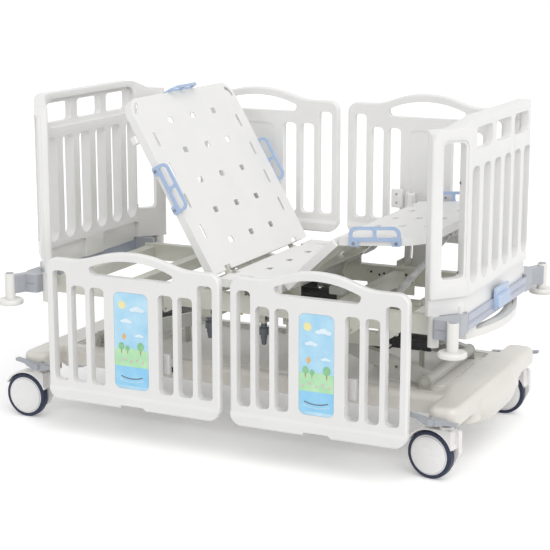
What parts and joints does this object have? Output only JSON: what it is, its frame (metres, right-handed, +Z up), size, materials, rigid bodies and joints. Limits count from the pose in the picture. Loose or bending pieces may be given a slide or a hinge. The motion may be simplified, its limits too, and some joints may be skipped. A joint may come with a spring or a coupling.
{
  "type": "pediatric hospital cot",
  "caption": "Height-adjustable paediatric hospital cot on castors with folding deck, drop-down slotted side rails, lift-off winged end boards, corner bumpers and brake pedals.",
  "frame": {"origin": "on the floor under the middle of the cot's bounding box", "axes": "+X towards the foot end, +Y towards the far side with the raised rails, +Z up"},
  "size_m": [1.6647, 1.004, 1.1163],
  "materials": {
    "moulded_white": "satin moulded plastic",
    "cover_cream": "satin moulded plastic",
    "tray_cream": "satin moulded plastic",
    "frame_olive": "satin powder coat",
    "arm_grey": "satin powder coat",
    "bracket_grey": "satin powder coat",
    "end_rail_lilac": "satin anodised look",
    "latch_blue": "satin",
    "retainer_blue": "satin",
    "deck_grey": "satin moulded plastic",
    "housing_white": "satin",
    "wheel_white": "satin",
    "tyre_navy": "matt",
    "pedal_grey": "satin",
    "post_cream": "satin",
    "motor_black": "matt",
    "rod_steel": "bright",
    "strut_silver": "bright",
    "knob_red": "gloss"
  },
  "bodies": {
    "base": {"base_frame": "frame_olive", "base_cover": "cover_cream", "base_tray": "tray_cream", "lift_motors": "motor_black"},
    "foot_brake": {"brake_pedals_foot": "pedal_grey"},
    "head_brake": {"brake_pedals_head": "pedal_grey"},
    "castor_near_head": {"castor_near_head_housing": "housing_white"},
    "wheel_near_head": {"castor_near_head_wheel": "wheel_white", "castor_near_head_tyre": "tyre_navy"},
    "castor_near_foot": {"castor_near_foot_housing": "housing_white"},
    "wheel_near_foot": {"castor_near_foot_wheel": "wheel_white", "castor_near_foot_tyre": "tyre_navy"},
    "castor_far_head": {"castor_far_head_housing": "housing_white"},
    "wheel_far_head": {"castor_far_head_wheel": "wheel_white", "castor_far_head_tyre": "tyre_navy"},
    "castor_far_foot": {"castor_far_foot_housing": "housing_white"},
    "wheel_far_foot": {"castor_far_foot_wheel": "wheel_white", "castor_far_foot_tyre": "tyre_navy"},
    "head_arm": {"lift_arm_head": "arm_grey"},
    "foot_arm": {"lift_arm_foot": "arm_grey"},
    "head_lift_rod": {"lift_rod_head": "rod_steel"},
    "foot_lift_rod": {"lift_rod_foot": "rod_steel"},
    "bed": {"bed_frame": "frame_olive", "corner_brackets": "bracket_grey", "corner_posts": "post_cream", "end_rails": "end_rail_lilac", "foot_grip": "post_cream", "seat_panel": "deck_grey", "deck_motors": "motor_black"},
    "backrest": {"backrest_panel": "deck_grey", "backrest_retainers": "retainer_blue", "backrest_frame": "frame_olive"},
    "backrest_rod": {"backrest_rod": "rod_steel"},
    "thigh": {"thigh_panel": "deck_grey", "knee_frame": "frame_olive"},
    "knee_rod": {"knee_rod": "rod_steel"},
    "calf": {"calf_panel": "deck_grey", "calf_retainers": "retainer_blue"},
    "strut_tube": {"strut_tube": "strut_silver"},
    "strut_rod": {"strut_rod": "rod_steel"},
    "foot_board": {"foot_board": "moulded_white"},
    "head_board": {"head_board": "moulded_white"},
    "latch": {"foot_latch": "latch_blue"},
    "knob": {"release_knob": "knob_red"},
    "bumper_near_foot": {"bumper_disc_near_foot": "post_cream"},
    "bumper_far_foot": {"bumper_disc_far_foot": "post_cream"},
    "bumper_near_head": {"bumper_disc_near_head": "post_cream"},
    "bumper_far_head": {"bumper_disc_far_head": "post_cream"},
    "rail_near_head": {"rail_near_head": "moulded_white"},
    "upper_link_near_head": {"rail_near_head_upper_links": "housing_white"},
    "lower_link_near_head": {"rail_near_head_lower_link": "housing_white"},
    "rail_far_head": {"rail_far_head": "moulded_white"},
    "upper_link_far_head": {"rail_far_head_upper_links": "housing_white"},
    "lower_link_far_head": {"rail_far_head_lower_link": "housing_white"},
    "rail_near_foot": {"rail_near_foot": "moulded_white"},
    "upper_link_near_foot": {"rail_near_foot_upper_links": "housing_white"},
    "lower_link_near_foot": {"rail_near_foot_lower_link": "housing_white"},
    "rail_far_foot": {"rail_far_foot": "moulded_white"},
    "upper_link_far_foot": {"rail_far_foot_upper_links": "housing_white"},
    "lower_link_far_foot": {"rail_far_foot_lower_link": "housing_white"}
  },
  "joints": [
    {"name": "foot_brake_pedal", "type": "hinge", "parent": "base", "child": "foot_brake", "pos_m": [0.7155, 0, 0.196], "axis": [0, 1, 0], "range_deg": [-14, 14]},
    {"name": "head_brake_pedal", "type": "hinge", "parent": "base", "child": "head_brake", "pos_m": [-0.6785, 0, 0.196], "axis": [0, 1, 0], "range_deg": [-14, 14]},
    {"name": "swivel_near_head", "type": "hinge", "parent": "base", "child": "castor_near_head", "pos_m": [-0.7085, -0.366, 0.172], "axis": [0, 0, 1], "continuous": true},
    {"name": "roll_near_head", "type": "hinge", "parent": "castor_near_head", "child": "wheel_near_head", "pos_m": [-0.7565, -0.366, 0.075], "axis": [0, 1, 0], "continuous": true},
    {"name": "swivel_near_foot", "type": "hinge", "parent": "base", "child": "castor_near_foot", "pos_m": [0.7455, -0.366, 0.172], "axis": [0, 0, 1], "continuous": true},
    {"name": "roll_near_foot", "type": "hinge", "parent": "castor_near_foot", "child": "wheel_near_foot", "pos_m": [0.69823, -0.35767, 0.075], "axis": [0.1736, 0.9848, 0], "continuous": true},
    {"name": "swivel_far_head", "type": "hinge", "parent": "base", "child": "castor_far_head", "pos_m": [-0.7085, 0.366, 0.172], "axis": [0, 0, 1], "continuous": true},
    {"name": "roll_far_head", "type": "hinge", "parent": "castor_far_head", "child": "wheel_far_head", "pos_m": [-0.75638, 0.36265, 0.075], "axis": [-0.0698, 0.9976, 0], "continuous": true},
    {"name": "swivel_far_foot", "type": "hinge", "parent": "base", "child": "castor_far_foot", "pos_m": [0.7455, 0.366, 0.172], "axis": [0, 0, 1], "continuous": true},
    {"name": "roll_far_foot", "type": "hinge", "parent": "castor_far_foot", "child": "wheel_far_foot", "pos_m": [0.6975, 0.366, 0.075], "axis": [0, 1, 0], "continuous": true},
    {"name": "lift", "type": "hinge", "parent": "base", "child": "head_arm", "pos_m": [-0.5815, 0, 0.25], "axis": [0, -1, 0], "range_deg": [-8, 34]},
    {"name": "frame_level", "type": "hinge", "parent": "head_arm", "child": "bed", "pos_m": [-0.15854, 0, 0.37128], "axis": [0, -1, 0], "range_deg": [-34, 8]},
    {"name": "foot_arm_swing", "type": "hinge", "parent": "base", "child": "foot_arm", "pos_m": [0.6185, 0, 0.25], "axis": [0, -1, 0], "range_deg": [-34, 8]},
    {"name": "head_rod_travel", "type": "slide", "parent": "base", "child": "head_lift_rod", "axis": [1, 0, 0], "range_m": [-0.03389, 0.00805]},
    {"name": "foot_rod_travel", "type": "slide", "parent": "base", "child": "foot_lift_rod", "axis": [1, 0, 0], "range_m": [-0.00805, 0.03389]},
    {"name": "backrest_lift", "type": "hinge", "parent": "bed", "child": "backrest", "pos_m": [-0.0465, 0, 0.533], "axis": [0, 1, 0], "range_deg": [-60, 6]},
    {"name": "backrest_rod_travel", "type": "slide", "parent": "bed", "child": "backrest_rod", "axis": [1, 0, 0], "range_m": [-0.0087, 0.08605]},
    {"name": "thigh_lift", "type": "hinge", "parent": "bed", "child": "thigh", "pos_m": [0.1995, 0, 0.533], "axis": [0, -1, 0], "range_deg": [-43.5, 2.5]},
    {"name": "calf_fold", "type": "hinge", "parent": "thigh", "child": "calf", "pos_m": [0.37504, 0, 0.69958], "axis": [0, -1, 0], "range_deg": [-2.3, 39.11]},
    {"name": "knee_rod_travel", "type": "slide", "parent": "bed", "child": "knee_rod", "axis": [1, 0, 0], "range_m": [-0.0596, 0.00352]},
    {"name": "strut_swing", "type": "hinge", "parent": "bed", "child": "strut_tube", "pos_m": [0.4185, 0, 0.44], "axis": [0, -1, 0], "range_deg": [-37.42, 2.16]},
    {"name": "strut_travel", "type": "slide", "parent": "strut_tube", "child": "strut_rod", "axis": [0.6276, 0, 0.7785], "range_m": [-0.04679, 0.00278]},
    {"name": "foot_board_lift", "type": "slide", "parent": "bed", "child": "foot_board", "axis": [0, 0, 1], "range_m": [0, 0.12]},
    {"name": "head_board_lift", "type": "slide", "parent": "bed", "child": "head_board", "axis": [0, 0, 1], "range_m": [0, 0.12]},
    {"name": "latch_flap", "type": "hinge", "parent": "bed", "child": "latch", "pos_m": [0.7858, 0.01, 0.466], "axis": [0, 1, 0], "range_deg": [0, 45]},
    {"name": "knob_push", "type": "slide", "parent": "bed", "child": "knob", "axis": [0, 1, 0], "range_m": [0, 0.012], "stiffness_N_per_m": 500, "springref_m": -0.002},
    {"name": "bumper_roll_near_foot", "type": "hinge", "parent": "bed", "child": "bumper_near_foot", "pos_m": [0.7885, -0.459, 0.42], "axis": [0, 0, 1], "continuous": true},
    {"name": "bumper_roll_far_foot", "type": "hinge", "parent": "bed", "child": "bumper_far_foot", "pos_m": [0.7885, 0.459, 0.42], "axis": [0, 0, 1], "continuous": true},
    {"name": "bumper_roll_near_head", "type": "hinge", "parent": "bed", "child": "bumper_near_head", "pos_m": [-0.7515, -0.459, 0.42], "axis": [0, 0, 1], "continuous": true},
    {"name": "bumper_roll_far_head", "type": "hinge", "parent": "bed", "child": "bumper_far_head", "pos_m": [-0.7515, 0.459, 0.42], "axis": [0, 0, 1], "continuous": true},
    {"name": "rail_drop_near_head", "type": "hinge", "parent": "bed", "child": "upper_link_near_head", "pos_m": [-0.267, -0.38296, 0.4946], "axis": [1, 0, 0], "range_deg": [-155.78, 0]},
    {"name": "rail_hang_near_head", "type": "hinge", "parent": "upper_link_near_head", "child": "rail_near_head", "pos_m": [-0.267, -0.458, 0.279], "axis": [1, 0, 0], "range_deg": [0, 155.78]},
    {"name": "lower_link_swing_near_head", "type": "hinge", "parent": "bed", "child": "lower_link_near_head", "pos_m": [-0.267, -0.38296, 0.4346], "axis": [1, 0, 0], "range_deg": [-155.78, 0]},
    {"name": "rail_drop_far_head", "type": "hinge", "parent": "bed", "child": "upper_link_far_head", "pos_m": [-0.267, 0.38296, 0.4946], "axis": [-1, 0, 0], "range_deg": [0, 155.78]},
    {"name": "rail_hang_far_head", "type": "hinge", "parent": "upper_link_far_head", "child": "rail_far_head", "pos_m": [-0.267, 0.403, 0.722], "axis": [-1, 0, 0], "range_deg": [-155.78, 0]},
    {"name": "lower_link_swing_far_head", "type": "hinge", "parent": "bed", "child": "lower_link_far_head", "pos_m": [-0.267, 0.38296, 0.4346], "axis": [-1, 0, 0], "range_deg": [0, 155.78]},
    {"name": "rail_drop_near_foot", "type": "hinge", "parent": "bed", "child": "upper_link_near_foot", "pos_m": [0.3755, -0.38296, 0.4946], "axis": [1, 0, 0], "range_deg": [-155.78, 0]},
    {"name": "rail_hang_near_foot", "type": "hinge", "parent": "upper_link_near_foot", "child": "rail_near_foot", "pos_m": [0.3755, -0.458, 0.279], "axis": [1, 0, 0], "range_deg": [0, 155.78]},
    {"name": "lower_link_swing_near_foot", "type": "hinge", "parent": "bed", "child": "lower_link_near_foot", "pos_m": [0.3755, -0.38296, 0.4346], "axis": [1, 0, 0], "range_deg": [-155.78, 0]},
    {"name": "rail_drop_far_foot", "type": "hinge", "parent": "bed", "child": "upper_link_far_foot", "pos_m": [0.3755, 0.38296, 0.4946], "axis": [-1, 0, 0], "range_deg": [0, 155.78]},
    {"name": "rail_hang_far_foot", "type": "hinge", "parent": "upper_link_far_foot", "child": "rail_far_foot", "pos_m": [0.3755, 0.403, 0.722], "axis": [-1, 0, 0], "range_deg": [-155.78, 0]},
    {"name": "lower_link_swing_far_foot", "type": "hinge", "parent": "bed", "child": "lower_link_far_foot", "pos_m": [0.3755, 0.38296, 0.4346], "axis": [-1, 0, 0], "range_deg": [0, 155.78]}
  ],
  "couplings": [
    {"joint": "head_brake_pedal", "follows": "foot_brake_pedal", "ratio": 1},
    {"joint": "frame_level", "follows": "lift", "ratio": -1},
    {"joint": "foot_arm_swing", "follows": "lift", "ratio": -1},
    {"joint": "head_rod_travel", "follows": "lift", "m_per_rad": -0.05694},
    {"joint": "foot_rod_travel", "follows": "lift", "m_per_rad": 0.05694},
    {"joint": "backrest_rod_travel", "follows": "backrest_lift", "m_per_rad": -0.08208},
    {"joint": "calf_fold", "follows": "thigh_lift", "ratio": -0.89885},
    {"joint": "knee_rod_travel", "follows": "thigh_lift", "m_per_rad": 0.07837},
    {"joint": "strut_swing", "follows": "thigh_lift", "ratio": 0.86},
    {"joint": "strut_travel", "follows": "thigh_lift", "m_per_rad": 0.0615},
    {"joint": "rail_hang_near_head", "follows": "rail_drop_near_head", "ratio": -1},
    {"joint": "lower_link_swing_near_head", "follows": "rail_drop_near_head", "ratio": 1},
    {"joint": "rail_hang_far_head", "follows": "rail_drop_far_head", "ratio": -1},
    {"joint": "lower_link_swing_far_head", "follows": "rail_drop_far_head", "ratio": 1},
    {"joint": "rail_hang_near_foot", "follows": "rail_drop_near_foot", "ratio": -1},
    {"joint": "lower_link_swing_near_foot", "follows": "rail_drop_near_foot", "ratio": 1},
    {"joint": "rail_hang_far_foot", "follows": "rail_drop_far_foot", "ratio": -1},
    {"joint": "lower_link_swing_far_foot", "follows": "rail_drop_far_foot", "ratio": 1}
  ]
}
